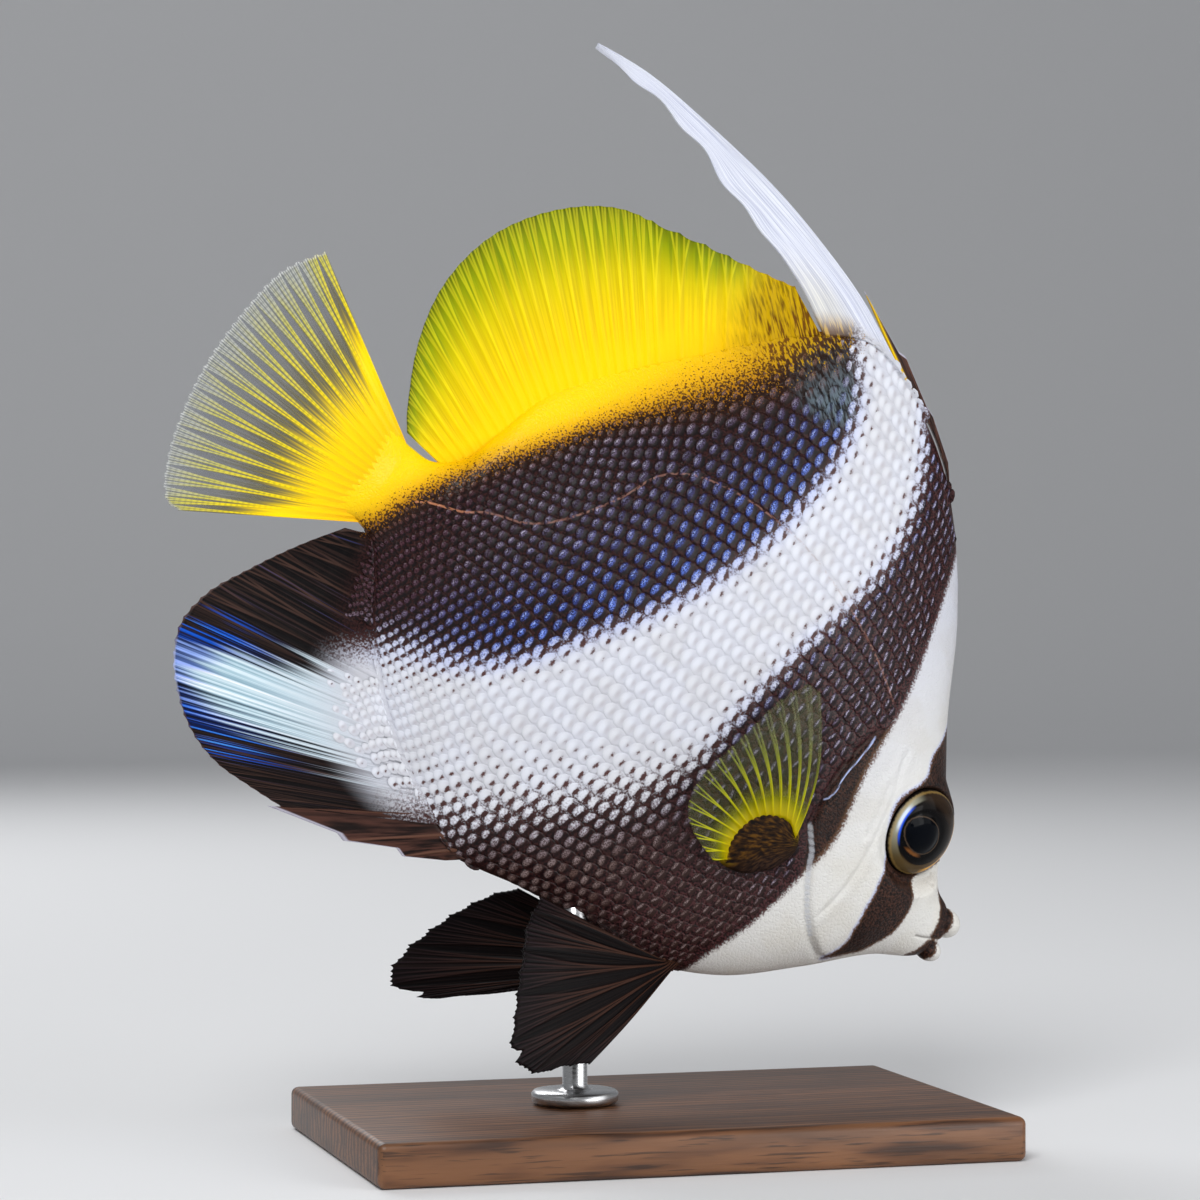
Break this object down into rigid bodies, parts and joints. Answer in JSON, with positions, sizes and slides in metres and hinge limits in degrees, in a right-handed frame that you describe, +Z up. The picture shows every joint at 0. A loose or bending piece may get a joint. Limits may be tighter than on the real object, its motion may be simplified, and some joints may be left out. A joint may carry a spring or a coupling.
{
  "type": "masked bannerfish model on a display stand",
  "caption": "Life-size still model of a masked bannerfish, nose down, with its long white banner fin, held on a rod over a flat base.",
  "frame": {"origin": "centre of the stand base's underside", "axes": "+Z up, +X towards the fish's snout, +Y out of the fish's left side, which faces away from the picture's camera"},
  "size_m": [0.1325, 0.068, 0.1776],
  "materials": {
    "skin": "satin scales, white with dark brown bands and a yellow rear back",
    "eye": "wet gloss, dark pupil in a silver and gold ring",
    "yellow_fin": "thin yellow membrane on fine rays",
    "white_fin": "thin white membrane on a stout spine",
    "dark_fin": "dark brown membrane on fine rays",
    "clear_fin": "clear membrane on yellow rays",
    "stand_wood": "oiled walnut with eased edges",
    "stand_steel": "brushed"
  },
  "bodies": {
    "root": {"head": "skin", "lower_jaw": "skin", "gill_cover_left": "skin", "gill_cover_right": "skin", "trunk": "skin", "tail_peduncle": "skin", "eye_left": "eye", "eye_right": "eye", "dorsal_spines_front": "dark_fin", "banner": "white_fin", "dorsal_fin": "yellow_fin", "caudal_fin": "yellow_fin", "anal_spines": "dark_fin", "anal_fin": "dark_fin", "pectoral_fin_left": "clear_fin", "pectoral_fin_right": "clear_fin", "pelvic_fin_left": "dark_fin", "pelvic_fin_right": "dark_fin", "stand_base": "stand_wood", "stand_rod": "stand_steel"}
  },
  "joints": []
}
